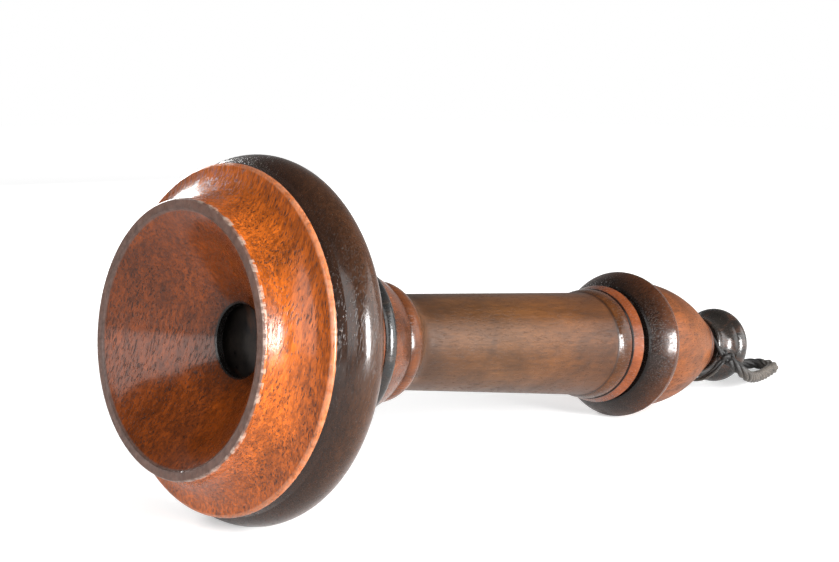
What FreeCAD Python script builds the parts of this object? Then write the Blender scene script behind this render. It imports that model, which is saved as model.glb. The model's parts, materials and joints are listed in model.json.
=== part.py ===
import FreeCAD, Part
import math
import os
from FreeCAD import Vector

# Magneto hand telephone of turned wood ("butter-stamp" pattern), lying on its side.
# Everything is turned about one axis. Pieces are drawn in the turning frame: x runs along
# the axis from the rim of the mouthpiece (x = 0) to the knob, r is the distance from it.
# lay() then tips the axis until the head flange and the tail ring both rest on z = 0,
# with the mouth towards -X and the origin under the middle of the body. Millimetres.

# ---- driving dimensions ----
RIM_R = 30.0            # flat rim of the mouth
RIM_INNER_R = 28.2
SOUND_HOLE_R = 8.35
THROAT_X = 17.5         # front edge of the sound hole
CAP_R = 38.9            # widest edge of the mouthpiece
CAP_BACK_X = 12.1
HEAD_FRONT_X = 12.5
FLANGE_X = 19.5         # rounded flange, its widest place
FLANGE_R = 41.6
FLANGE_ROUND = 6.3
NECK_X = 43.6           # back of the head
NECK_R = 20.4
COLLAR_X = 47.6         # back of the black collar ring
COLLAR_R = 20.9
HANDLE_X = 67.5         # slim end of the grip
HANDLE_R = 12.1
GRIP_END_X = 140.9
GRIP_END_R = 15.0
BAND_END_X = 149.9      # end of the wooden handle
BAND_END_R = 17.3
TAIL_X = 153.0          # front lip of the tail cap
TAIL_RING_X = 159.9     # rounded ring of the tail cap, its widest place
TAIL_RING_R = 21.8
TAIL_RING_ROUND = 5.4
TAIL_END_X = 201.4
KNOB_X = 203.9          # front lip of the knob
KNOB_BEAD_X = 215.4
KNOB_BEAD_R = 12.1
KNOB_END_X = 220.1

# ---- the parts inside ----
SCREW_FIT = 0.1         # play of the wooden screw threads, drawn plain
RUNNING_FIT = 0.05      # play of the sliding and turning metal parts
GLUE_GAP = 0.03
THREAD_R = 34.2         # screwed spigot of the mouthpiece
THREAD_END_X = 21.3
CHAMBER_R = 27.5        # air chambers either side of the diaphragm
GASKET_T = 0.6
DIAPHRAGM_T = 0.3
DIAPHRAGM_R = 33.6
COIL_ROOM_R = 12.6      # bore round the coil
SPIGOT_X = 32.8         # front of the handle's spigot in the head
SPIGOT_R = 17.0
BORE_X = 40.2           # front end of the magnet's bore
BORE_R = 7.8
MAGNET_R = 6.35
MAGNET_X = 39.3
MAGNET_LENGTH = 110.0
POLE_R = 4.0
POLE_TIP_X = 23.3
BOBBIN_X = 24.6
BOBBIN_LENGTH = 12.6
BOBBIN_R = 11.6
CHEEK_T = 1.2
SCREW_R = 2.4           # adjusting screw
SCREW_TIP_X = 150.5
NUT_LENGTH = 7.0
WIRE_R = 0.7
WIRE_OFFSET = 9.9       # distance of the two lead wires from the axis
CHANNEL_R = 1.2
TAIL_SPIGOT_R = 13.6
TAIL_SPIGOT_END_X = 160.0
BLOCK_T = 3.0           # terminal block
THRUST_X = 186.0        # inner face that carries the thrust of the screw

# ---- the hanging cord, its routes in the row frame ----
NECK_CORD_R = 0.8
# from the near knot, up through the neck of the knob, past the far knot and back slack below
NECK_CORD = [
    (95.5, -11.1, 13.0), (93.6, -10.6, 15.1), (93.6, -8.2, 18.0), (94.0, -5.1, 20.4),
    (94.2, -1.4, 22.1), (94.1, 3.0, 21.6), (93.8, 6.5, 19.1), (93.5, 9.5, 16.3),
    (94.0, 11.0, 13.4), (93.4, 10.6, 10.5), (92.4, 8.2, 7.3), (91.7, 3.9, 5.0),
    (91.5, -0.8, 4.4), (91.6, -5.4, 5.3), (92.5, -9.0, 8.2), (93.7, -10.7, 11.1),
    (95.3, -11.2, 12.4),
]
LOOP_R = 1.9
# a doubled cord from the near knot, down to the table past the knob and back to the far knot
CORD_LOOP = [
    (96.6, -12.0, 12.0), (98.6, -14.4, 9.2), (102.2, -15.2, 6.6), (107.8, -13.4, 4.8),
    (114.0, -11.4, 3.5), (120.8, -9.2, 2.5), (127.4, -7.4, 2.0), (133.8, -5.7, 1.95),
    (139.8, -4.2, 1.95), (142.5, 0.4, 1.95), (139.8, 5.0, 1.95), (133.4, 6.2, 2.2),
    (126.0, 7.8, 3.0), (118.2, 10.0, 4.2), (110.6, 13.1, 5.9), (104.2, 15.7, 8.2),
    (99.6, 14.9, 10.6), (96.9, 12.4, 12.6),
]
KNOT_SIZE = (2.9, 2.2, 3.5)    # half sizes along X, Y and Z
NEAR_KNOT = (96.3, -11.5, 12.6)
FAR_KNOT = (96.1, 11.4, 13.2)


def turned(start, *steps):
    """A body of revolution. Each step is a point (line), a pair of points (arc through the
    first) or a list of points (smooth curve through them all)."""
    edges = []
    here = start
    for step in list(steps) + [start]:
        curve = isinstance(step, list)
        arc = isinstance(step[0], tuple) and not curve
        end = step[-1] if curve or arc else step
        a, b = Vector(here[0], 0, here[1]), Vector(end[0], 0, end[1])
        if (b - a).Length < 1e-6:
            continue
        if curve:
            spline = Part.BSplineCurve()
            spline.interpolate([a] + [Vector(p[0], 0, p[1]) for p in step])
            edges.append(spline.toShape())
        elif arc:
            middle = Vector(step[0][0], 0, step[0][1])
            edges.append(Part.Arc(a, middle, b).toShape())
        else:
            edges.append(Part.LineSegment(a, b).toShape())
        here = end
    face = Part.Face(Part.Wire(edges))
    return face.revolve(Vector(0, 0, 0), Vector(1, 0, 0), 360)


def rod(x0, x1, r, y=0.0, z=0.0):
    return Part.makeCylinder(r, x1 - x0, Vector(x0, y, z), Vector(1, 0, 0))


def ring(x0, x1, r_out, r_in):
    return rod(x0, x1, r_out).cut(rod(x0 - 1, x1 + 1, r_in))


def on_round(cx, cr, radius, degrees):
    """Point of a rounded edge, counted from straight out towards the tail."""
    a = math.radians(degrees)
    return (cx + radius * math.sin(a), cr + radius * math.cos(a))


# ---- how the body lies ----
run = TAIL_RING_X - FLANGE_X
drop = (FLANGE_R - FLANGE_ROUND) - (TAIL_RING_R - TAIL_RING_ROUND)
TILT = math.atan2(drop, run) + math.asin((FLANGE_ROUND - TAIL_RING_ROUND) / math.hypot(run, drop))
AXIS_Z = FLANGE_X * math.sin(TILT) + (FLANGE_R - FLANGE_ROUND) * math.cos(TILT) + FLANGE_ROUND


def tip(shape):
    tipped = shape.copy()
    tipped.rotate(Vector(0, 0, 0), Vector(0, 1, 0), math.degrees(TILT))
    return tipped


def lay(shape, middle_x):
    laid = tip(shape)
    laid.translate(Vector(-middle_x, 0, AXIS_Z))
    return laid


# ---- mouthpiece and diaphragm ----
def mouthpiece_cap():
    funnel = [(2.6, 24.9), (7.6, 19.9), (12.6, 14.4), (THROAT_X - 0.6, 9.2), (THROAT_X, SOUND_HOLE_R)]
    return turned(
        (0.0, RIM_R),
        ((0.35, RIM_R + 0.27), (1.0, RIM_R + 0.35)),
        (1.3, RIM_R + 0.1),
        (3.6, RIM_R + 0.4),
        ((8.28, 33.08), (10.5, 38.0)),
        ((10.75, 38.6), (11.4, CAP_R)),
        ((11.85, CAP_R - 0.15), (CAP_BACK_X, CAP_R - 0.55)),
        (CAP_BACK_X, THREAD_R),
        (THREAD_END_X - 0.4, THREAD_R),
        (THREAD_END_X, THREAD_R - 0.4),
        (THREAD_END_X, CHAMBER_R),
        (THROAT_X + 2.0, CHAMBER_R - 3.0),
        (THROAT_X + 1.6, SOUND_HOLE_R),
        (THROAT_X, SOUND_HOLE_R),
        funnel[-2::-1] + [(0.25, RIM_INNER_R - 0.25)],
        (0.0, RIM_INNER_R),
    )


FRONT_GASKET_X = THREAD_END_X + 0.05
DIAPHRAGM_X = FRONT_GASKET_X + GASKET_T
REAR_GASKET_X = DIAPHRAGM_X + DIAPHRAGM_T
SEAT_X = REAR_GASKET_X + GASKET_T


def gasket(x):
    return ring(x, x + GASKET_T, DIAPHRAGM_R, CHAMBER_R)


def diaphragm():
    return rod(DIAPHRAGM_X, DIAPHRAGM_X + DIAPHRAGM_T, DIAPHRAGM_R)


# ---- head ----
def head_body():
    cr = FLANGE_R - FLANGE_ROUND
    front = on_round(FLANGE_X, cr, FLANGE_ROUND, -54)
    middle = on_round(FLANGE_X, cr, FLANGE_ROUND, 0)
    back = on_round(FLANGE_X, cr, FLANGE_ROUND, 61)
    socket = THREAD_R + SCREW_FIT
    return turned(
        (HEAD_FRONT_X, socket),
        (HEAD_FRONT_X, CAP_R - 0.9),
        front,
        (middle, back),
        ((30.6, 28.6), (NECK_X - 0.5, NECK_R)),
        (NECK_X, NECK_R - 0.4),
        (NECK_X, SPIGOT_R + GLUE_GAP),
        (SPIGOT_X, SPIGOT_R + GLUE_GAP),
        (SPIGOT_X, COIL_ROOM_R),
        (SEAT_X + 3.0, COIL_ROOM_R),
        (SEAT_X + 2.0, CHAMBER_R),
        (SEAT_X, CHAMBER_R),
        (SEAT_X, socket),
    )


def collar_ring():
    return turned(
        (NECK_X + 0.1, SPIGOT_R + GLUE_GAP),
        (NECK_X + 0.1, NECK_R - 0.3),
        ((45.4, COLLAR_R), (COLLAR_X, 19.1)),
        (COLLAR_X, SPIGOT_R + GLUE_GAP),
    )


# ---- handle ----
def handle():
    body = turned(
        (SPIGOT_X + 0.1, COIL_ROOM_R),
        (SPIGOT_X + 0.1, SPIGOT_R),
        (COLLAR_X + 0.05, SPIGOT_R),
        (COLLAR_X + 0.05, 19.0),
        ((51.9, 17.6), (56.8, 15.3)),
        (57.1, 14.8),
        ((59.4, 15.1), (62.0, 14.1)),
        ((63.9, 12.75), (HANDLE_X, HANDLE_R)),
        (GRIP_END_X - 1.2, GRIP_END_R - 0.15),
        (GRIP_END_X, GRIP_END_R),
        ((142.6, 15.7), (145.8, 16.0)),
        (146.1, 15.4),
        (146.45, 16.2),
        (BAND_END_X, BAND_END_R),
        (BAND_END_X, TAIL_SPIGOT_R),
        (TAIL_SPIGOT_END_X, TAIL_SPIGOT_R),
        (TAIL_SPIGOT_END_X, BORE_R),
        (BORE_X, BORE_R),
        (BORE_X, COIL_ROOM_R),
    )
    for side in (-1, 1):
        body = body.cut(rod(BORE_X - 1, TAIL_SPIGOT_END_X + 1, CHANNEL_R, side * WIRE_OFFSET))
    return body.cut(guide_pin(RUNNING_FIT))


def bush(x):
    return ring(x, x + 8.0, BORE_R - GLUE_GAP, MAGNET_R + RUNNING_FIT)


GUIDE_PIN_X = 147.0
GUIDE_PIN_R = 0.9


def guide_pin(extra=0.0):
    """Pin under the bore that rides in the magnet's slot and keeps it from turning."""
    top, bottom = -5.4, -11.0 - extra
    return Part.makeCylinder(GUIDE_PIN_R + extra, top - bottom, Vector(GUIDE_PIN_X, 0, bottom))


def lead_wire(side):
    return rod(BORE_X + 0.1, TAIL_SPIGOT_END_X + 0.3, WIRE_R, side * WIRE_OFFSET)


def terminal_block():
    block = ring(TAIL_SPIGOT_END_X + 0.02, TAIL_SPIGOT_END_X + BLOCK_T, 12.6, BORE_R - 0.3)
    for side in (-1, 1):
        hole = rod(TAIL_SPIGOT_END_X - 1, TAIL_SPIGOT_END_X + BLOCK_T + 1, 1.25, side * WIRE_OFFSET)
        block = block.cut(hole)
    return block


def terminal_screws():
    screws = []
    head_x = TAIL_SPIGOT_END_X + BLOCK_T
    for side in (-1, 1):
        y = side * WIRE_OFFSET
        shank = rod(head_x - 2.4, head_x + 0.5, 1.2, y)
        head = rod(head_x + 0.02, head_x + 1.8, 2.0, y)
        slot = Part.makeBox(1.0, 0.5, 6.0, Vector(head_x + 1.1, y - 0.25, -3.0))
        screws.append(shank.fuse(head).cut(slot).removeSplitter())
    return Part.makeCompound(screws)


# ---- magnet and coil ----
MAGNET_END_X = MAGNET_X + MAGNET_LENGTH
BOBBIN_END_X = BOBBIN_X + BOBBIN_LENGTH


def bar_magnet():
    magnet = rod(MAGNET_X, MAGNET_END_X, MAGNET_R)
    magnet = magnet.cut(rod(MAGNET_X - 1, MAGNET_X + 5.2, 1.55))
    magnet = magnet.cut(rod(MAGNET_END_X - 3.0, MAGNET_END_X + 1, SCREW_R + 0.2))
    slot = Part.makeBox(7.0, 2 * GUIDE_PIN_R + 0.3, 3.0, Vector(MAGNET_END_X - 5.8, -GUIDE_PIN_R - 0.15, -7.9))
    return magnet.cut(slot)


def magnet_nut():
    nut = ring(MAGNET_END_X + 0.02, MAGNET_END_X + NUT_LENGTH, MAGNET_R - 0.1, SCREW_R + RUNNING_FIT)
    flat = Part.makeBox(NUT_LENGTH + 2, 8.0, 3.0, Vector(MAGNET_END_X - 1, -4.0, -8.2))
    return nut.cut(flat)


def pole_piece():
    return rod(POLE_TIP_X, MAGNET_X - 0.02, POLE_R).cut(rod(34.6, MAGNET_X + 1, 1.55))


def pole_stud():
    return rod(34.8, MAGNET_X + 5.0, 1.5)


def bobbin():
    core = ring(BOBBIN_X, BOBBIN_END_X, POLE_R + 1.1, POLE_R + GLUE_GAP)
    front = ring(BOBBIN_X, BOBBIN_X + CHEEK_T, BOBBIN_R, POLE_R + GLUE_GAP)
    back = ring(BOBBIN_END_X - CHEEK_T, BOBBIN_END_X, BOBBIN_R, POLE_R + GLUE_GAP)
    return core.fuse([front, back]).removeSplitter()


def coil_winding():
    x0, x1 = BOBBIN_X + CHEEK_T + 0.05, BOBBIN_END_X - CHEEK_T - 0.05
    return ring(x0, x1, BOBBIN_R - 0.7, POLE_R + 1.15)


# ---- tail ----
def tail_washer():
    return ring(BAND_END_X + 0.05, TAIL_X - 0.05, 15.2, TAIL_SPIGOT_R + 0.15)


def tail_cap():
    cr = TAIL_RING_R - TAIL_RING_ROUND
    peak = on_round(TAIL_RING_X, cr, TAIL_RING_ROUND, 0)
    shoulder = on_round(TAIL_RING_X, cr, TAIL_RING_ROUND, 30)
    crease = on_round(TAIL_RING_X, cr, TAIL_RING_ROUND, 60)
    dome = [(170.0, 19.15), (177.0, 18.25), (184.0, 16.4), (191.0, 13.7), (198.6, 9.95)]
    return turned(
        (TAIL_X, 16.9),
        (TAIL_X + 0.25, 17.35),
        ((156.5, 19.95), peak),
        (shoulder, crease),
        dome,
        (198.9, 9.6),
        ((199.9, 9.75), (200.9, 9.0)),
        (TAIL_END_X, 7.6),
        (TAIL_END_X, SCREW_R + RUNNING_FIT),
        (THRUST_X, SCREW_R + RUNNING_FIT),
        (THRUST_X, 6.2),
        (182.0, 6.2),
        (171.0, 12.9),
        (161.2, 12.9),
        (161.2, TAIL_SPIGOT_R + SCREW_FIT),
        (TAIL_X, TAIL_SPIGOT_R + SCREW_FIT),
    )


# ---- knob and adjusting screw ----
def adjusting_screw():
    shaft = rod(SCREW_TIP_X, KNOB_X + 12.0, SCREW_R)
    return shaft.cut(cross_pin(KNOB_X + 6.5, 9.0, GLUE_GAP))


def thrust_washer():
    return ring(THRUST_X - 0.9, THRUST_X - 0.1, 5.2, SCREW_R + RUNNING_FIT)


def thrust_collar():
    return ring(THRUST_X - 3.2, THRUST_X - 1.0, 4.6, SCREW_R + GLUE_GAP)


def cross_pin(x, length, extra=0.0):
    r = 0.75 + extra
    return Part.makeCylinder(r, length, Vector(x, -length / 2, 0), Vector(0, 1, 0))


def adjusting_knob():
    end_r = 10.4
    end_x = KNOB_END_X - 1.6
    end_round = (end_r ** 2 + 1.6 ** 2) / 3.2
    half = math.asin(end_r / end_round) / 2
    end_middle = (KNOB_END_X - end_round * (1 - math.cos(half)), end_round * math.sin(half))
    body = turned(
        (TAIL_END_X + 0.15, 0.0),
        (TAIL_END_X + 0.15, 5.6),
        ((TAIL_END_X + 1.0, 5.2), (KNOB_X - 0.15, 6.0)),
        (KNOB_X, 8.9),
        ((KNOB_X + 0.8, 9.3), (KNOB_X + 1.7, 8.8)),
        ((208.6, 8.4), (212.2, 10.5)),
        (212.5, 11.0),
        ((KNOB_BEAD_X, KNOB_BEAD_R), (end_x, end_r)),
        (end_middle, (KNOB_END_X, 0.0)),
    )
    body = body.cut(rod(TAIL_END_X - 1, KNOB_X + 12.1, SCREW_R + GLUE_GAP))
    return body.cut(cross_pin(KNOB_X + 6.5, 9.1, GLUE_GAP))


# ---- hanging cord ----
def tube(points, r, name):
    """A round cord: straight runs joined by tangent arcs as large as the runs allow."""
    pts = [Vector(*p) for p in points]
    edges = []
    here = pts[0]
    length = 0.0
    radii = []
    for before, corner, after in zip(pts, pts[1:], pts[2:]):
        u, v = (before - corner).normalize(), (after - corner).normalize()
        half_turn = (math.pi - u.getAngle(v)) / 2
        reach = 0.45 * min((corner - before).Length, (after - corner).Length)
        radius = reach / math.tan(half_turn)
        radii.append(round(radius, 1))
        a, b = corner + u * reach, corner + v * reach
        inward = (u + v).normalize()
        middle = corner + inward * (radius / math.cos(half_turn) - radius)
        edges.append(Part.LineSegment(here, a).toShape())
        edges.append(Part.Arc(a, middle, b).toShape())
        length += (a - here).Length + radius * 2 * half_turn
        here = b
    edges.append(Part.LineSegment(here, pts[-1]).toShape())
    length += (pts[-1] - here).Length
    path = Part.Wire(edges)
    section = Part.Wire(Part.makeCircle(r, pts[0], pts[1] - pts[0]))
    solid = path.makePipeShell([section], True, True)
    ratio = solid.Volume / (math.pi * r * r * length)
    print(name, "length", round(length, 1), "radii", radii, "volume ratio", round(ratio, 3))
    return solid


def knot(centre):
    ball = Part.makeSphere(1.0)
    stretch = FreeCAD.Matrix()
    stretch.scale(*KNOT_SIZE)
    ball = ball.transformGeometry(stretch)
    ball.translate(Vector(*centre))
    return ball


PARTS = {
    "mouthpiece_cap": mouthpiece_cap,
    "front_gasket": lambda: gasket(FRONT_GASKET_X),
    "diaphragm": diaphragm,
    "rear_gasket": lambda: gasket(REAR_GASKET_X),
    "head_body": head_body,
    "collar_ring": collar_ring,
    "handle": handle,
    "front_bush": lambda: bush(BORE_X + 1.0),
    "rear_bush": lambda: bush(134.0),
    "guide_pin": guide_pin,
    "lead_wire_left": lambda: lead_wire(-1),
    "lead_wire_right": lambda: lead_wire(1),
    "terminal_block": terminal_block,
    "terminal_screws": terminal_screws,
    "bar_magnet": bar_magnet,
    "magnet_nut": magnet_nut,
    "pole_piece": pole_piece,
    "pole_stud": pole_stud,
    "bobbin": bobbin,
    "coil_winding": coil_winding,
    "tail_washer": tail_washer,
    "tail_cap": tail_cap,
    "adjusting_screw": adjusting_screw,
    "thrust_washer": thrust_washer,
    "thrust_collar": thrust_collar,
    "knob_pin": lambda: cross_pin(KNOB_X + 6.5, 9.0),
    "adjusting_knob": adjusting_knob,
}

CORD_PARTS = {
    "neck_cord": lambda: tube(NECK_CORD, NECK_CORD_R, "neck_cord"),
    "near_knot": lambda: knot(NEAR_KNOT),
    "far_knot": lambda: knot(FAR_KNOT),
    "cord_loop": lambda: tube(CORD_LOOP, LOOP_R, "cord_loop"),
}


def write(name, shape):
    box = shape.optimalBoundingBox(False)
    state = "valid" if shape.isValid() else "INVALID"
    corners = [round(v, 2) for v in (box.XMin, box.XMax, box.YMin, box.YMax, box.ZMin, box.ZMax)]
    print(name, state, len(shape.Solids), round(shape.Volume, 1), corners)
    shape.exportStep(os.path.join("parts", name + ".step"))


rim_x = tip(mouthpiece_cap()).optimalBoundingBox(False).XMin
end_x = tip(adjusting_knob()).optimalBoundingBox(False).XMax
middle_x = (rim_x + end_x) / 2

os.makedirs("parts", exist_ok=True)
for name, make in PARTS.items():
    write(name, lay(make(), middle_x))
for name, make in CORD_PARTS.items():
    write(name, make())
print("tilt", round(math.degrees(TILT), 3), "axis height", round(AXIS_Z, 3), "middle", round(middle_x, 3))
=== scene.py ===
import bpy
import json
import math
from mathutils import Matrix, Quaternion, Vector


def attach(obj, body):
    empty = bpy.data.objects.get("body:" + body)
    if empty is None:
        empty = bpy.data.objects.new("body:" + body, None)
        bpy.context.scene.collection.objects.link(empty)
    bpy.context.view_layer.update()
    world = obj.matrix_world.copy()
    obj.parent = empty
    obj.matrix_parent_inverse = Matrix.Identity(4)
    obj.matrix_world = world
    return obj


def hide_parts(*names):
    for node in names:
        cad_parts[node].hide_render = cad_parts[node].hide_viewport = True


# Magneto hand telephone of turned wood, lying on a table. Metres, in the CAD frame.
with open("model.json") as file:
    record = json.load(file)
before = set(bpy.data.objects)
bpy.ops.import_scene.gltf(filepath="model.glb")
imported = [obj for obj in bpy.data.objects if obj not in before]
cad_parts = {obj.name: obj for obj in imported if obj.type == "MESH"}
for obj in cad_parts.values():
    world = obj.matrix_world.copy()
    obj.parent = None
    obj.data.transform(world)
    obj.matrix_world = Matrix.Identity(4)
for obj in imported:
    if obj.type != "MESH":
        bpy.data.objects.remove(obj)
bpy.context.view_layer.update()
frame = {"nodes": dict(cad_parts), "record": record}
MM = 0.001
FLOOR_Z = 0.0

# The turning axis: x of the turning frame runs from the rim of the mouth to the knob.
turn_joint = next(j for j in frame["record"]["behaviour"]["joints"] if j["name"] == "cap_turn")
MOUTH = Vector(turn_joint["pos_m"])
AXIS = -Vector(turn_joint["axis"])
TILT = math.asin(-AXIS.z)


def laid(x, y, w):
    """Point of the turning frame in millimetres, as a place in the row frame."""
    across = Vector((math.sin(TILT), 0, math.cos(TILT)))
    return MOUTH + AXIS * (x * MM) + Vector((0, y * MM, 0)) + across * (w * MM)


# ---- camera ----
def camera():
    data = bpy.data.cameras.new("camera")
    data.sensor_width = 36.0
    data.lens = 55.8
    data.shift_x = -0.0197
    data.shift_y = 0.0732
    obj = bpy.data.objects.new("camera", data)
    forward = Vector((0.7052, 0.6834, -0.189))
    obj.location = (-0.2639, -0.2299, 0.0962)
    roll = Quaternion((0, 0, 1), math.radians(0.28))
    obj.rotation_euler = (forward.to_track_quat("-Z", "Y") @ roll).to_euler()
    bpy.context.scene.collection.objects.link(obj)
    bpy.context.scene.camera = obj


# ---- colours ----
def rgb(red, green, blue):
    """A colour given as it looks on a screen, 0 to 255."""
    parts = []
    for value in (red, green, blue):
        c = value / 255
        parts.append(c / 12.92 if c <= 0.04045 else ((c + 0.055) / 1.055) ** 2.4)
    return (*parts, 1.0)


# ---- node helpers ----
# the colour sockets of a Mix node: its two inputs and its output
MIX_A, MIX_B, MIX_RESULT = 6, 7, 2


class Nodes:
    """Short names for making and joining shader nodes."""

    def __init__(self, name):
        self.material = bpy.data.materials.new(name)
        self.material.use_nodes = True
        self.tree = self.material.node_tree
        self.tree.nodes.clear()
        self.shader = self.add("ShaderNodeBsdfPrincipled")
        output = self.add("ShaderNodeOutputMaterial")
        self.join(self.shader.outputs["BSDF"], output.inputs["Surface"])

    def add(self, kind, **settings):
        node = self.tree.nodes.new(kind)
        for key, value in settings.items():
            setattr(node, key, value)
        return node

    def join(self, source, target):
        self.tree.links.new(source, target)

    def feed(self, socket, value):
        if isinstance(value, bpy.types.NodeSocket):
            self.join(value, socket)
        else:
            socket.default_value = value

    def math(self, operation, a, b=0.0, c=0.0, clamp=False):
        node = self.add("ShaderNodeMath", operation=operation, use_clamp=clamp)
        for socket, value in zip(node.inputs, (a, b, c)):
            self.feed(socket, value)
        return node.outputs[0]

    def place(self):
        """Place in the turning frame, in metres: x along the axis."""
        coords = self.add("ShaderNodeTexCoord")
        mapping = self.add("ShaderNodeMapping", vector_type="POINT")
        turn = Matrix.Rotation(-TILT, 3, "Y")
        mapping.inputs["Location"].default_value = -(turn @ MOUTH)
        mapping.inputs["Rotation"].default_value = (0, -TILT, 0)
        self.join(coords.outputs["Object"], mapping.inputs["Vector"])
        return mapping.outputs["Vector"]

    def scaled(self, vector, scale, turn=(0, 0, 0)):
        mapping = self.add("ShaderNodeMapping", vector_type="POINT")
        mapping.inputs["Scale"].default_value = scale
        mapping.inputs["Rotation"].default_value = turn
        self.join(vector, mapping.inputs["Vector"])
        return mapping.outputs["Vector"]

    def noise(self, vector, scale, detail=3.0, rough=0.5, distortion=0.0):
        node = self.add("ShaderNodeTexNoise")
        self.join(vector, node.inputs["Vector"])
        node.inputs["Scale"].default_value = scale
        node.inputs["Detail"].default_value = detail
        node.inputs["Roughness"].default_value = rough
        node.inputs["Distortion"].default_value = distortion
        return node.outputs["Fac"]

    def ramp(self, value, *stops, smooth=False):
        """stops are (place, grey or colour)."""
        node = self.add("ShaderNodeValToRGB")
        ramp = node.color_ramp
        ramp.interpolation = "EASE" if smooth else "LINEAR"
        while len(ramp.elements) < len(stops):
            ramp.elements.new(0.5)
        for element, (place, colour) in zip(ramp.elements, stops):
            element.position = place
            element.color = colour if isinstance(colour, tuple) else (colour, colour, colour, 1)
        self.join(value, node.inputs["Fac"])
        return node.outputs["Color"]

    def mix(self, factor, a, b, blend="MIX"):
        node = self.add("ShaderNodeMix", data_type="RGBA", blend_type=blend)
        self.feed(node.inputs["Factor"], factor)
        self.feed(node.inputs[MIX_A], a)
        self.feed(node.inputs[MIX_B], b)
        return node.outputs[MIX_RESULT]

    def bump(self, height, distance, below=None):
        node = self.add("ShaderNodeBump")
        node.inputs["Distance"].default_value = distance
        self.join(height, node.inputs["Height"])
        if below is not None:
            self.join(below, node.inputs["Normal"])
        return node.outputs["Normal"]

    def split(self, vector):
        node = self.add("ShaderNodeSeparateXYZ")
        self.join(vector, node.inputs["Vector"])
        return node.outputs

    def radius(self, place):
        """Distance from the turning axis."""
        node = self.add("ShaderNodeVectorMath", operation="LENGTH")
        self.join(self.scaled(place, (0, 1, 1)), node.inputs[0])
        return node.outputs["Value"]

    def band(self, value, low, high, edge):
        """1 between low and high, falling to 0 over the edge width outside."""
        rise = self.math("DIVIDE", self.math("SUBTRACT", value, low - edge), edge, clamp=True)
        fall = self.math("DIVIDE", self.math("SUBTRACT", high + edge, value), edge, clamp=True)
        return self.math("MULTIPLY", rise, fall)

    def finish(self, colour, rough, normal, **constants):
        self.feed(self.shader.inputs["Base Color"], colour)
        self.feed(self.shader.inputs["Roughness"], rough)
        if normal is not None:
            self.join(normal, self.shader.inputs["Normal"])
        for name, value in constants.items():
            self.shader.inputs[name.replace("_", " ")].default_value = value
        return self.material


# ---- turned and polished wood ----
BODY_LENGTH = 0.2214
THREAD_PITCH = 3 * MM
THREAD_HEIGHT = 1.6 * MM
# where the mouthpiece ends and its screwed spigot begins, in millimetres from the rim
CAP_BACK = 12.1


def thread_ridges(n, place, along, radius, spans):
    """Helical ridges of the wooden screw threads. spans are (x from, x to, r) in millimetres."""
    axes = n.split(place)
    angle = n.math("ARCTAN2", axes["Z"], axes["Y"])
    turns = n.math("MULTIPLY_ADD", angle, 1 / (2 * math.pi), n.math("DIVIDE", along, THREAD_PITCH))
    ridge = n.math("PINGPONG", turns, 0.5)
    height = None
    for start, end, r in spans:
        inside = n.math(
            "MULTIPLY",
            n.band(along, (start + 0.6) * MM, (end - 0.6) * MM, 0.4 * MM),
            n.band(radius, (r - 0.25) * MM, (r + 0.25) * MM, 0.1 * MM),
        )
        part = n.math("MULTIPLY", ridge, inside)
        height = part if height is None else n.math("ADD", height, part)
    return height


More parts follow.
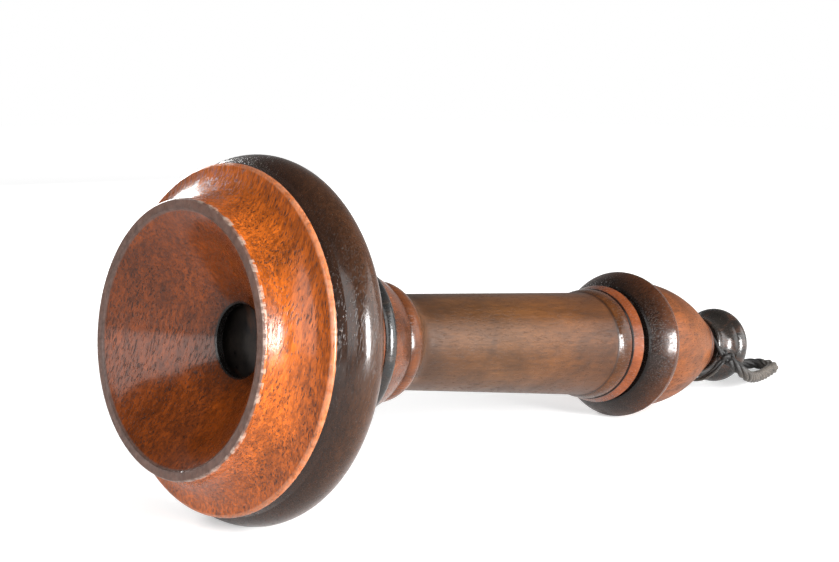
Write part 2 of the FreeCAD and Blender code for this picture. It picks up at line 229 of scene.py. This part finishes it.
def wood(name, zones, fibre, figure, flecks, pores, roughness, coat, seed, grooves=(), polished=(),
         rim=False, threads=()):
    """zones: colours along the axis. fibre: turns that bring the grain to run along x.
    figure: strength of the broad light and dark streaks. flecks: strength of the short dark dashes.
    pores: how dark the open pores are. seed: moves the grain, so that no two pieces share it.
    grooves: (place, width, darkness) of the turned lines, darkened as painted shade. polished: spans that
    have kept their gloss.
    threads: (from, to, radius) of the screwed parts. Places are millimetres from the rim."""
    n = Nodes(name)
    place = n.place()
    along = n.split(place)["X"]
    radius = n.radius(place)
    grain = n.scaled(place, (1, 1, 1), fibre)
    moved = n.add("ShaderNodeVectorMath", operation="ADD")
    n.join(grain, moved.inputs[0])
    moved.inputs[1].default_value = (seed, seed * 0.7, seed * 1.3)
    grain = moved.outputs["Vector"]

    stops = [(x * MM / BODY_LENGTH, rgb(*colour)) for x, colour in zones]
    colour = n.ramp(n.math("DIVIDE", along, BODY_LENGTH, clamp=True), *stops)

    streaks = n.noise(n.scaled(grain, (0.16, 1, 1)), 260, 5, 0.6, 0.6)
    cloud = n.noise(n.scaled(grain, (0.35, 1, 1)), 62, 3, 0.55, 1.4)
    fine = n.noise(n.scaled(grain, (0.07, 1, 1)), 1500, 3, 0.6)
    light = n.ramp(cloud, (0.32, 1 - figure), (0.5, 1.0), (0.72, 1 + figure * 0.8), smooth=True)
    colour = n.mix(1.0, colour, light, "MULTIPLY")
    streak = n.ramp(streaks, (0.3, 1 - figure * 0.75), (0.52, 1.0), (0.7, 1 + figure * 0.5))
    colour = n.mix(1.0, colour, streak, "MULTIPLY")
    hair = n.ramp(fine, (0.3, 0.8), (0.62, 1.1))
    colour = n.mix(1.0, colour, hair, "MULTIPLY")
    fleck_at = n.noise(n.scaled(grain, (0.3, 1, 1), (0, 0, 0.3)), 1250, 3, 0.65, 0.8)
    fleck = n.ramp(fleck_at, (0.4, 1 - flecks), (0.54, 1.0), (0.7, 1 + flecks * 0.6))
    colour = n.mix(1.0, colour, fleck, "MULTIPLY")

    pits = n.noise(n.scaled(grain, (0.17, 1, 1)), 3300, 2, 0.5)
    patch = n.noise(grain, 130, 2)
    level = n.math("MULTIPLY_ADD", patch, 0.22, 0.32)
    open_pore = n.math("MULTIPLY", n.math("SUBTRACT", level, pits), 11.0, clamp=True)
    pore_dark = n.math("MULTIPLY", open_pore, pores)
    colour = n.mix(pore_dark, colour, rgb(24, 9, 4))

    # old hand dirt and darkened polish in blotches, and painted shade in the grooves
    blotch = n.noise(place, 48, 5, 0.62, 0.5)
    grime_and_groove_shade = n.ramp(blotch, (0.52, 0.0), (0.72, 0.5))
    for x, width, dark in grooves:
        line = n.band(along, (x - width / 2) * MM, (x + width / 2) * MM, 0.35 * MM)
        grime_and_groove_shade = n.math("MAXIMUM", grime_and_groove_shade, n.math("MULTIPLY", line, dark))
    colour = n.mix(grime_and_groove_shade, colour, rgb(12, 6, 4))

    # fine scratches and bruises
    scuff_at = n.noise(n.scaled(place, (1, 0.4, 1), (0.4, 0.9, 0.2)), 420, 2, 0.5, 2.5)
    scuff = n.ramp(scuff_at, (0.735, 0.0), (0.775, 1.0))
    colour = n.mix(n.math("MULTIPLY", scuff, 0.25), colour, rgb(120, 78, 48))

    rough = n.math("MULTIPLY_ADD", blotch, 0.16, roughness - 0.08)
    rough = n.math("ADD", rough, n.math("MULTIPLY", open_pore, 0.2))
    for start, end in polished:
        kept = n.band(along, start * MM, end * MM, 0.6 * MM)
        rough = n.math("MULTIPLY_ADD", kept, -0.22, rough)
    if rim:
        colour, rough = worn_rim(n, place, along, radius, colour, rough)

    height = n.math("MULTIPLY", open_pore, -0.5)
    height = n.math("ADD", height, n.math("MULTIPLY", fine, 0.22))
    height = n.math("ADD", height, n.math("MULTIPLY", scuff, -0.35))
    normal = n.bump(height, 0.06 * MM)
    waves = n.noise(place, 95, 2)
    normal = n.bump(waves, 0.35 * MM, normal)
    if threads:
        normal = n.bump(thread_ridges(n, place, along, radius, threads), THREAD_HEIGHT, normal)
    return n.finish(colour, rough, normal, Coat_Weight=coat, Coat_Roughness=0.08, Specular_IOR_Level=0.34)


def worn_rim(n, place, along, radius, colour, rough):
    """The flat rim has lost its polish and is bruised on its edges. The funnel inside is darkened as
    painted shade, the widest edge is lightened as rubbed-through polish and painted sheen, and the hole at
    the bottom is black."""
    funnel_r = 28.3 * MM
    rim_r = 29.9 * MM
    widest_r = 38.3 * MM
    hole_r = 8.6 * MM
    hole_x = 17.0 * MM
    # painted shade: the colour inside the funnel is darkened, where shade falls in the hollow
    inside = n.band(radius, 0.0, funnel_r, 0.5 * MM)
    colour = n.mix(inside, colour, n.mix(1.0, colour, (0.56, 0.52, 0.5, 1), "MULTIPLY"))
    flat = n.band(along, -0.5 * MM, 0.3 * MM, 0.25 * MM)
    mottle = n.noise(place, 700, 4, 0.65)
    grey = n.ramp(mottle, (0.35, rgb(78, 60, 53)), (0.65, rgb(108, 88, 80)))
    colour = n.mix(n.math("MULTIPLY", flat, 0.9), colour, grey)
    chips_at = n.noise(n.scaled(place, (0.5, 1, 1)), 330, 4, 0.7, 1.0)
    outer = n.band(along, 0.1 * MM, 1.1 * MM, 0.2 * MM)
    chips = n.math("MULTIPLY", n.ramp(chips_at, (0.48, 0.0), (0.58, 1.0)), outer)
    chips = n.math("MULTIPLY", chips, n.band(radius, rim_r, 31 * MM, 0.1 * MM))
    # partly wear and partly painted highlight: the widest edge is lightened pinkish all round, as rubbed
    # polish and as painted sheen
    widest = n.band(radius, widest_r, 40 * MM, 0.3 * MM)
    edge = n.math("MULTIPLY", n.ramp(chips_at, (0.35, 0.2), (0.65, 0.9)), widest)
    colour = n.mix(n.math("MULTIPLY", chips, 0.7), colour, rgb(176, 156, 142))
    colour = n.mix(n.math("MULTIPLY", edge, 0.7), colour, rgb(196, 136, 104))
    rough = n.math("MULTIPLY_ADD", flat, 0.18, rough)
    throat = n.band(radius, 0.0, hole_r, 0.3 * MM)
    hole = n.math("MULTIPLY", throat, n.band(along, hole_x, 30 * MM, 0.4 * MM))
    colour = n.mix(hole, colour, rgb(10, 8, 7))
    return colour, rough


def mahogany():
    zones = [(0, (172, 84, 22)), (12.1, (178, 88, 24)), (18, (104, 52, 20)), (60, (100, 52, 22))]
    return wood(
        "mahogany", zones, fibre=(0, math.radians(78), 0), figure=0.26, flecks=0.4, pores=0.8,
        roughness=0.25, coat=0.15, seed=0.11, rim=True, threads=[(CAP_BACK, 21.3, 34.2)],
    )


def dark_wood():
    zones = [
        (12.5, (30, 17, 10)), (15, (48, 28, 16)), (20, (58, 35, 20)), (25, (70, 40, 22)),
        (32, (98, 50, 23)), (44, (112, 56, 25)), (60, (78, 44, 24)),
    ]
    return wood(
        "dark_wood", zones, fibre=(0, math.radians(84), 0), figure=0.2, flecks=0.25, pores=0.5,
        roughness=0.2, coat=0.2, seed=0.37, threads=[(CAP_BACK, 22.8, 34.3)],
    )


def handle_wood():
    zones = [
        (44, (88, 48, 24)), (50, (104, 56, 28)), (56.6, (84, 44, 21)), (59, (108, 60, 32)),
        (63, (84, 51, 25)), (68, (74, 46, 24)), (95, (84, 52, 24)), (120, (88, 52, 22)),
        (140, (80, 46, 20)), (145, (70, 39, 19)), (147, (110, 56, 28)), (150, (116, 60, 31)),
    ]
    return wood(
        "handle_wood", zones, fibre=(0, 0, 0), figure=0.3, flecks=0.14, pores=0.22,
        roughness=0.38, coat=0.0, seed=0.62,
        grooves=[(48.0, 0.3, 0.5), (57.0, 0.5, 0.8), (140.9, 0.5, 0.6), (146.2, 0.5, 0.95)],
        polished=[(44, 62.5), (141.5, 150)], threads=[(151, 160, 13.6)],
    )


def tail_wood():
    zones = [
        (152, (24, 14, 9)), (156, (42, 24, 14)), (160, (72, 40, 22)), (163.7, (92, 52, 28)),
        (164.5, (150, 100, 68)), (165.4, (112, 58, 16)), (185, (124, 66, 19)), (196, (116, 62, 24)),
        (199, (88, 47, 25)), (201.4, (82, 44, 25)),
    ]
    return wood(
        "tail_wood", zones, fibre=(0, math.radians(12), 0), figure=0.28, flecks=0.3, pores=0.55,
        roughness=0.42, coat=0.0, seed=0.93,
        grooves=[(153.1, 0.5, 0.9), (198.8, 0.4, 0.75)], polished=[(152, 164.2)],
        threads=[(153.0, 161.2, 13.7)],
    )


def ebonised(name, seed, stain, worn):
    """Stained black, rubbed through to brown here and there."""
    n = Nodes(name)
    place = n.place()
    grain = n.scaled(place, (0.2, 1, 1))
    streaks = n.noise(grain, 420, 4, 0.6, 0.8)
    patches = n.noise(n.scaled(place, (0.6, 1, 1), (seed, 0, 0)), 130, 4, 0.6)
    bare = n.math("MULTIPLY_ADD", streaks, 0.5, n.math("MULTIPLY", patches, 0.5))
    rubbed = n.ramp(bare, (0.5, 0.0), (0.68, worn))
    black = n.ramp(streaks, (0.3, stain), (0.7, rgb(38, 33, 29)))
    colour = n.mix(rubbed, black, rgb(74, 46, 32))
    pits = n.noise(grain, 1500, 3, 0.6)
    rough = n.ramp(pits, (0.3, 0.18), (0.7, 0.32))
    normal = n.bump(n.noise(grain, 1300, 3, 0.6), 0.05 * MM)
    normal = n.bump(n.noise(place, 160, 3), 0.3 * MM, normal)
    return n.finish(colour, rough, normal, Coat_Weight=0.3, Coat_Roughness=0.15)


# ---- the fittings inside ----
def turned_metal(name, dark, bright, rough, ring_pitch, stain):
    """Lathe marks round the axis, with stains of age."""
    n = Nodes(name)
    place = n.place()
    rings = n.noise(n.scaled(place, (1 / ring_pitch, 30, 30)), 1.0, 3, 0.6)
    tarnish = n.noise(place, 160, 5, 0.65, 0.4)
    colour = n.ramp(rings, (0.3, dark), (0.7, bright))
    colour = n.mix(n.ramp(tarnish, (0.5, 0.0), (0.72, 0.85)), colour, stain)
    roughness = n.math("MULTIPLY_ADD", tarnish, 0.3, rough - 0.12)
    normal = n.bump(rings, 0.04 * MM)
    normal = n.bump(n.noise(place, 900, 3), 0.02 * MM, normal)
    return n.finish(colour, roughness, normal, Metallic=1.0)


def japanned_iron():
    n = Nodes("diaphragm_iron")
    place = n.place()
    spots = n.noise(place, 240, 5, 0.7)
    rust = n.noise(place, 90, 6, 0.7, 0.6)
    colour = n.ramp(spots, (0.35, rgb(22, 20, 20)), (0.7, rgb(50, 44, 40)))
    colour = n.mix(n.ramp(rust, (0.6, 0.0), (0.75, 0.7)), colour, rgb(96, 56, 32))
    rough = n.ramp(spots, (0.3, 0.26), (0.7, 0.4))
    normal = n.bump(n.noise(place, 600, 4, 0.7), 0.03 * MM)
    return n.finish(colour, rough, normal, Metallic=0.4, Coat_Weight=0.4, Coat_Roughness=0.2)


def fibrous(name, dark, light, grain_size, sheen):
    """Paper, leather and cloth covering, matt with a soft irregular surface."""
    n = Nodes(name)
    place = n.place()
    fibres = n.noise(place, 1 / grain_size, 5, 0.7, 1.2)
    age = n.noise(place, 90, 3, 0.6)
    colour = n.ramp(fibres, (0.3, dark), (0.7, light))
    colour = n.mix(n.ramp(age, (0.45, 0.0), (0.75, 0.6)), colour, dark)
    rough = n.ramp(fibres, (0.3, 0.7), (0.7, 0.88))
    normal = n.bump(fibres, 0.12 * MM)
    return n.finish(colour, rough, normal, Sheen_Weight=sheen)


def wound(name, dark, light, pitch, slant):
    """Wire or thread laid in even turns round the axis."""
    n = Nodes(name)
    place = n.place()
    axes = n.split(place)
    angle = n.math("ARCTAN2", axes["Z"], axes["Y"])
    count = n.math("MULTIPLY_ADD", angle, slant / (2 * math.pi), n.math("DIVIDE", axes["X"], pitch))
    turn = n.math("MULTIPLY", n.math("PINGPONG", count, 0.5), 2.0)
    silk = n.noise(place, 2200, 3)
    colour = n.ramp(turn, (0.05, dark), (0.45, light))
    colour = n.mix(n.ramp(silk, (0.4, 0.0), (0.7, 0.35)), colour, dark)
    rough = n.ramp(silk, (0.3, 0.5), (0.7, 0.7))
    normal = n.bump(turn, 0.3 * MM)
    return n.finish(colour, rough, normal, Sheen_Weight=0.3)


def hard_rubber():
    n = Nodes("hard_rubber")
    place = n.place()
    bloom = n.noise(place, 130, 5, 0.65)
    colour = n.ramp(bloom, (0.35, rgb(24, 22, 21)), (0.7, rgb(62, 54, 44)))
    rough = n.ramp(bloom, (0.3, 0.35), (0.7, 0.55))
    normal = n.bump(n.noise(n.scaled(place, (9, 1, 1)), 500, 3), 0.03 * MM)
    return n.finish(colour, rough, normal)


def boxwood():
    n = Nodes("boxwood")
    place = n.place()
    grain = n.scaled(place, (0.15, 1, 1))
    streaks = n.noise(grain, 700, 4, 0.6, 0.5)
    colour = n.ramp(streaks, (0.3, rgb(164, 126, 72)), (0.7, rgb(206, 174, 112)))
    colour = n.mix(n.ramp(n.noise(place, 110, 4), (0.5, 0.0), (0.75, 0.6)), colour, rgb(120, 84, 46))
    normal = n.bump(streaks, 0.05 * MM)
    return n.finish(colour, n.ramp(streaks, (0.3, 0.4), (0.7, 0.55)), normal)


def cord_yarn(name):
    """Waxed twisted cord, black with age. Its low part on the near side is painted lighter, partly as
    rubbed bare grey-brown fibre and partly as painted light, and the far side stays dark as painted shade.
    """
    n = Nodes(name)
    coords = n.add("ShaderNodeTexCoord")
    place = coords.outputs["Object"]
    axes = n.split(place)
    fibres = n.noise(place, 2600, 4, 0.7, 0.8)
    patches = n.noise(place, 230, 4, 0.6)
    # painted light and shade: the low, near side turns pale grey-brown and the far side stays dark; the
    # patches add rubbed wear
    low = n.math("DIVIDE", n.math("SUBTRACT", 10 * MM, axes["Z"]), 6 * MM, clamp=True)
    near = n.math("DIVIDE", n.math("SUBTRACT", 2.5 * MM, axes["Y"]), 3 * MM, clamp=True)
    share = n.math("MULTIPLY", low, near)
    share = n.math("MULTIPLY", share, n.math("MULTIPLY_ADD", patches, 2.2, -0.35, clamp=True))
    base = n.ramp(fibres, (0.3, rgb(7, 6, 5)), (0.75, rgb(26, 22, 20)))
    bare = n.ramp(fibres, (0.32, rgb(24, 20, 18)), (0.68, rgb(112, 102, 91)))
    colour = n.mix(share, base, bare)
    rough = n.ramp(fibres, (0.3, 0.42), (0.75, 0.7))
    normal = n.bump(fibres, 0.12 * MM)
    return n.finish(colour, rough, normal, Sheen_Weight=0.05)


STEEL_DARK = rgb(120, 118, 116)
STEEL_BRIGHT = rgb(190, 188, 184)
MATERIALS = {
    "mouthpiece_cap": mahogany(),
    "head_body": dark_wood(),
    "collar_ring": ebonised("ebonised_collar", 0.4, rgb(12, 17, 19), 0.2),
    "handle": handle_wood(),
    "tail_cap": tail_wood(),
    "adjusting_knob": ebonised("ebonised_knob", 1.9, rgb(26, 22, 19), 0.9),
    "diaphragm": japanned_iron(),
    "terminal_block": hard_rubber(),
    "bobbin": boxwood(),
    "coil_winding": wound("wound_wire", rgb(20, 50, 30), rgb(66, 128, 78), 0.4 * MM, 1),
    "bar_magnet": turned_metal(
        "magnet_steel", rgb(58, 62, 74), rgb(122, 124, 134), 0.36, 0.5 * MM, rgb(80, 50, 34),
    ),
    "knob_pin": turned_metal("steel", STEEL_DARK, STEEL_BRIGHT, 0.34, 0.3 * MM, rgb(92, 62, 44)),
}
brass = turned_metal("brass", rgb(158, 118, 52), rgb(222, 184, 104), 0.32, 0.35 * MM, rgb(96, 66, 34))
iron = turned_metal("soft_iron", rgb(112, 108, 104), rgb(168, 164, 158), 0.42, 0.45 * MM, rgb(86, 54, 36))
paper = fibrous("paper", rgb(140, 118, 84), rgb(196, 178, 140), 0.9 * MM, 0.1)
leads = wound("lead_wire", rgb(60, 30, 18), rgb(132, 78, 46), 0.55 * MM, 3)
MATERIALS["tail_washer"] = fibrous("leather", rgb(24, 16, 12), rgb(66, 44, 30), 0.5 * MM, 0.15)
for node in ("front_gasket", "rear_gasket"):
    MATERIALS[node] = paper
for node in ("lead_wire_left", "lead_wire_right"):
    MATERIALS[node] = leads
for node in ("front_bush", "rear_bush", "terminal_screws", "thrust_washer", "magnet_nut"):
    MATERIALS[node] = brass
for node in ("pole_piece", "pole_stud"):
    MATERIALS[node] = iron
for node in ("guide_pin", "adjusting_screw", "thrust_collar"):
    MATERIALS[node] = MATERIALS["knob_pin"]

for node, material in MATERIALS.items():
    piece = frame["nodes"][node]
    if not piece.material_slots:
        piece.data.materials.append(material)
    for slot in piece.material_slots:
        slot.material = material


# ---- cord ----
# the routes of part.py, in millimetres
NECK_CORD = [
    (95.5, -11.1, 13.0), (93.6, -10.6, 15.1), (93.6, -8.2, 18.0), (94.0, -5.1, 20.4),
    (94.2, -1.4, 22.1), (94.1, 3.0, 21.6), (93.8, 6.5, 19.1), (93.5, 9.5, 16.3),
    (94.0, 11.0, 13.4), (93.4, 10.6, 10.5), (92.4, 8.2, 7.3), (91.7, 3.9, 5.0),
    (91.5, -0.8, 4.4), (91.6, -5.4, 5.3), (92.5, -9.0, 8.2), (93.7, -10.7, 11.1),
    (95.3, -11.2, 12.4),
]
CORD_LOOP = [
    (96.6, -12.0, 12.0), (98.6, -14.4, 9.2), (102.2, -15.2, 6.6), (107.8, -13.4, 4.8),
    (114.0, -11.4, 3.5), (120.8, -9.2, 2.5), (127.4, -7.4, 2.0), (133.8, -5.7, 1.95),
    (139.8, -4.2, 1.95), (142.5, 0.4, 1.95), (139.8, 5.0, 1.95), (133.4, 6.2, 2.2),
    (126.0, 7.8, 3.0), (118.2, 10.0, 4.2), (110.6, 13.1, 5.9), (104.2, 15.7, 8.2),
    (99.6, 14.9, 10.6), (96.9, 12.4, 12.6),
]


def route_line(name, points):
    """Points along the smooth route, read from its spline."""
    data = bpy.data.curves.new(name, "CURVE")
    data.dimensions = "3D"
    data.resolution_u = 24
    spline = data.splines.new("NURBS")
    spline.points.add(len(points) - 1)
    for point, place in zip(spline.points, points):
        point.co = (*[v * MM for v in place], 1)
    spline.order_u = 3
    spline.use_endpoint_u = True
    route = bpy.data.objects.new(name, data)
    mesh = bpy.data.meshes.new_from_object(route)
    line = [v.co.copy() for v in mesh.vertices]
    bpy.data.meshes.remove(mesh)
    bpy.data.objects.remove(route)
    return line


def frames_along(line):
    """Direction and two crosswise directions at each point, with no sudden twist."""
    frames = []
    side = Vector((0, 0, 1))
    for i, point in enumerate(line):
        along = (line[min(i + 1, len(line) - 1)] - line[max(i - 1, 0)]).normalized()
        side = (side - along * side.dot(along)).normalized()
        frames.append((along, side, along.cross(side)))
    return frames


def tube_mesh(verts, faces, line, radius_at, sides, closed=False):
    """Adds a tube round the line to verts and faces."""
    first = len(verts)
    for i, (point, (along, side, up)) in enumerate(zip(line, frames_along(line))):
        for k in range(sides):
            angle = 2 * math.pi * k / sides
            verts.append(point + (side * math.cos(angle) + up * math.sin(angle)) * radius_at(i, angle))
    rings = len(line)
    for i in range(rings if closed else rings - 1):
        a, b = first + i * sides, first + (i + 1) % rings * sides
        for k in range(sides):
            following = (k + 1) % sides
            faces.append((a + k, a + following, b + following, b + k))
    if not closed:
        faces.append(tuple(first + k for k in reversed(range(sides))))
        faces.append(tuple(first + (rings - 1) * sides + k for k in range(sides)))


def mesh_object(name, verts, faces, material):
    data = bpy.data.meshes.new(name)
    data.from_pydata([tuple(v) for v in verts], [], faces)
    data.validate()
    data.polygons.foreach_set("use_smooth", [True] * len(data.polygons))
    data.materials.append(material)
    obj = bpy.data.objects.new(name, data)
    bpy.context.scene.collection.objects.link(obj)
    return obj


def rope(name, line, strands, strand_r, lay_r, pitch, yarns, material):
    """Strands laid in a helix round the line, each with the ridges of its own yarns."""
    step = 0.3 * MM
    sides = 16
    ridge = 0.045
    yarn_pitch = pitch * 0.45
    fine = [line[0]]
    for a, b in zip(line, line[1:]):
        count = max(1, round((b - a).length / step))
        fine += [a.lerp(b, i / count) for i in range(1, count + 1)]
    frames = frames_along(fine)
    verts, faces = [], []
    for s in range(strands):
        turn = 2 * math.pi * s / strands
        centre = []
        travelled = 0.0
        for i, (point, (_, side, up)) in enumerate(zip(fine, frames)):
            travelled += (fine[i] - fine[i - 1]).length if i else 0.0
            angle = turn + 2 * math.pi * travelled / pitch
            centre.append(point + (side * math.cos(angle) + up * math.sin(angle)) * lay_r)

        def ridged(i, angle):
            return strand_r * (1 + ridge * math.cos(yarns * angle - 2 * math.pi * i * step / yarn_pitch))

        tube_mesh(verts, faces, centre, ridged, sides)
    return mesh_object(name, verts, faces, material)


def knot(name, centre, tilt, material):
    """A pulled-tight overhand knot: a closed three-lobed winding of the cord."""
    half_size = (2.1, 1.4, 2.7)
    cord_r = 0.78 * MM
    ridge = 0.08
    yarns = 4
    points = 150
    points_per_ridge = 9
    sides = 14
    turn = Matrix.Rotation(tilt, 3, "X") @ Matrix.Rotation(0.5, 3, "Z")
    centre = Vector(centre) * MM
    line = []
    for i in range(points):
        a = 2 * math.pi * i / points
        place = Vector((
            math.sin(a) + 2 * math.sin(2 * a),
            math.cos(a) - 2 * math.cos(2 * a),
            -1.25 * math.sin(3 * a),
        )) / 3
        place = turn @ place
        line.append(centre + Vector([place[k] * half_size[k] for k in range(3)]) * MM)
    verts, faces = [], []

    def ridged(i, angle):
        return cord_r * (1 + ridge * math.cos(yarns * angle - 2 * math.pi * i / points_per_ridge))

    tube_mesh(verts, faces, line, ridged, sides, closed=True)
    return mesh_object(name, verts, faces, material)


def hanging_cord():
    yarn = cord_yarn("cord")
    neck_line = route_line("neck_route", NECK_CORD)
    loop_line = route_line("loop_route", CORD_LOOP)
    neck = rope(
        "neck_cord_strands", neck_line, strands=2, strand_r=0.5 * MM, lay_r=0.5 * MM, pitch=30 * MM,
        yarns=3, material=yarn,
    )
    loop = rope(
        "cord_loop_strands", loop_line, strands=4, strand_r=0.84 * MM, lay_r=1.04 * MM, pitch=15 * MM,
        yarns=3, material=yarn,
    )
    near = knot("near_knot_turns", (96.3, -11.5, 12.6), 0.3, yarn)
    far = knot("far_knot_turns", (96.1, 11.4, 13.2), -0.4, yarn)
    for piece, node in ((neck, "neck_cord"), (loop, "cord_loop"), (near, "near_knot"), (far, "far_knot")):
        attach(piece, "knob")
        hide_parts(node)


# ---- floor and light ----
def floor():
    """Plain pale paper. It looks white to the camera, and sends less light at the object than that."""
    half = 3.0
    n = Nodes("floor_paper")
    coords = n.add("ShaderNodeTexCoord")
    tooth = n.noise(coords.outputs["Object"], 900, 3)
    colour = n.ramp(tooth, (0.3, 0.9), (0.7, 0.93))
    far = n.add("ShaderNodeVectorMath", operation="LENGTH")
    n.join(coords.outputs["Object"], far.inputs[0])
    glow = n.ramp(n.math("DIVIDE", far.outputs["Value"], half, clamp=True), (0.1, 0.4), (0.5, 0.85))
    seen = n.add("ShaderNodeLightPath")
    glow = n.mix(seen.outputs["Is Camera Ray"], n.mix(1.0, glow, (0.4, 0.4, 0.4, 1), "MULTIPLY"), glow)
    n.join(glow, n.shader.inputs["Emission Color"])
    material = n.finish(
        colour, 0.9, n.bump(tooth, 0.02 * MM), Emission_Strength=1.0, Specular_IOR_Level=0.1,
    )
    verts = [(-half, -half, FLOOR_Z), (half, -half, FLOOR_Z), (half, half, FLOOR_Z), (-half, half, FLOOR_Z)]
    plane = mesh_object("floor", verts, [(0, 1, 2, 3)], material)


def softbox(name, place, aim, width, height, power):
    """A rectangular lamp at a place, turned to the aim. Power in watts."""
    data = bpy.data.lights.new(name, "AREA")
    data.shape = "RECTANGLE"
    data.size = width
    data.size_y = height
    data.energy = power
    obj = bpy.data.objects.new(name, data)
    obj.location = place
    obj.rotation_euler = (Vector(aim) - Vector(place)).to_track_quat("-Z", "Y").to_euler()
    bpy.context.scene.collection.objects.link(obj)


def surroundings():
    """A dim room, brighter near the table, that the camera sees as plain white."""
    world = bpy.data.worlds.new("studio")
    world.use_nodes = True
    tree = world.node_tree
    tree.nodes.clear()
    coords = tree.nodes.new("ShaderNodeTexCoord")
    split = tree.nodes.new("ShaderNodeSeparateXYZ")
    ramp = tree.nodes.new("ShaderNodeValToRGB")
    seen = tree.nodes.new("ShaderNodeLightPath")
    mix = tree.nodes.new("ShaderNodeMix")
    mix.data_type = "RGBA"
    background = tree.nodes.new("ShaderNodeBackground")
    output = tree.nodes.new("ShaderNodeOutputWorld")
    levels = ((0.0, 0.42), (0.3, 0.3), (0.7, 0.15))
    ramp.color_ramp.elements.new(0.3)
    for element, (height, level) in zip(ramp.color_ramp.elements, levels):
        element.position = height
        element.color = (level, level, level, 1)
    mix.inputs[MIX_B].default_value = (1, 1, 1, 1)
    links = tree.links
    links.new(coords.outputs["Generated"], split.inputs[0])
    links.new(split.outputs["Z"], ramp.inputs["Fac"])
    links.new(seen.outputs["Is Camera Ray"], mix.inputs["Factor"])
    links.new(ramp.outputs["Color"], mix.inputs[MIX_A])
    links.new(mix.outputs[MIX_RESULT], background.inputs["Color"])
    links.new(background.outputs[0], output.inputs[0])
    bpy.context.scene.world = world


def lights():
    middle = laid(100, 0, 0)
    softbox("right_box", (0.15, -0.85, 0.16), middle, 0.24, 0.32, 17)
    softbox("side_box", (0.72, -0.72, 0.3), middle, 0.9, 0.56, 4.5)
    softbox("back_box", (0.12, 0.95, 0.34), middle, 0.42, 0.16, 7)
    softbox("left_box", (-0.95, -0.6, 0.5), middle, 1.2, 0.8, 10)


camera()
hanging_cord()
floor()
surroundings()
lights()
bpy.context.scene.view_settings.view_transform = "Standard"
